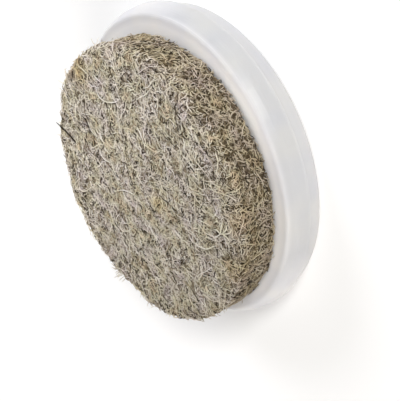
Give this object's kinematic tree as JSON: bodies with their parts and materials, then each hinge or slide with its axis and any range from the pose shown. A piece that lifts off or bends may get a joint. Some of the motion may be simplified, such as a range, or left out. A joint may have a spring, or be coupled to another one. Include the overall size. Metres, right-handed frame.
{
  "type": "felt furniture glide",
  "caption": "Round furniture glide: a stepped white plastic body with a thick wool felt disc on its front, so that a chair or table leg slides quietly.",
  "frame": {"origin": "centre of the body's flat back, which the glide lies on", "axes": "+Z along the glide's axis, from the flat back through the felt's front face"},
  "size_m": [0.0272, 0.0272, 0.0077],
  "materials": {
    "white_plastic": "satin, slightly translucent moulded plastic",
    "wool_felt": "coarse pressed wool felt of mixed cream, grey, brown and dark fibres"
  },
  "bodies": {
    "root": {"glide_body": "white_plastic", "felt_pad": "wool_felt"}
  },
  "joints": []
}
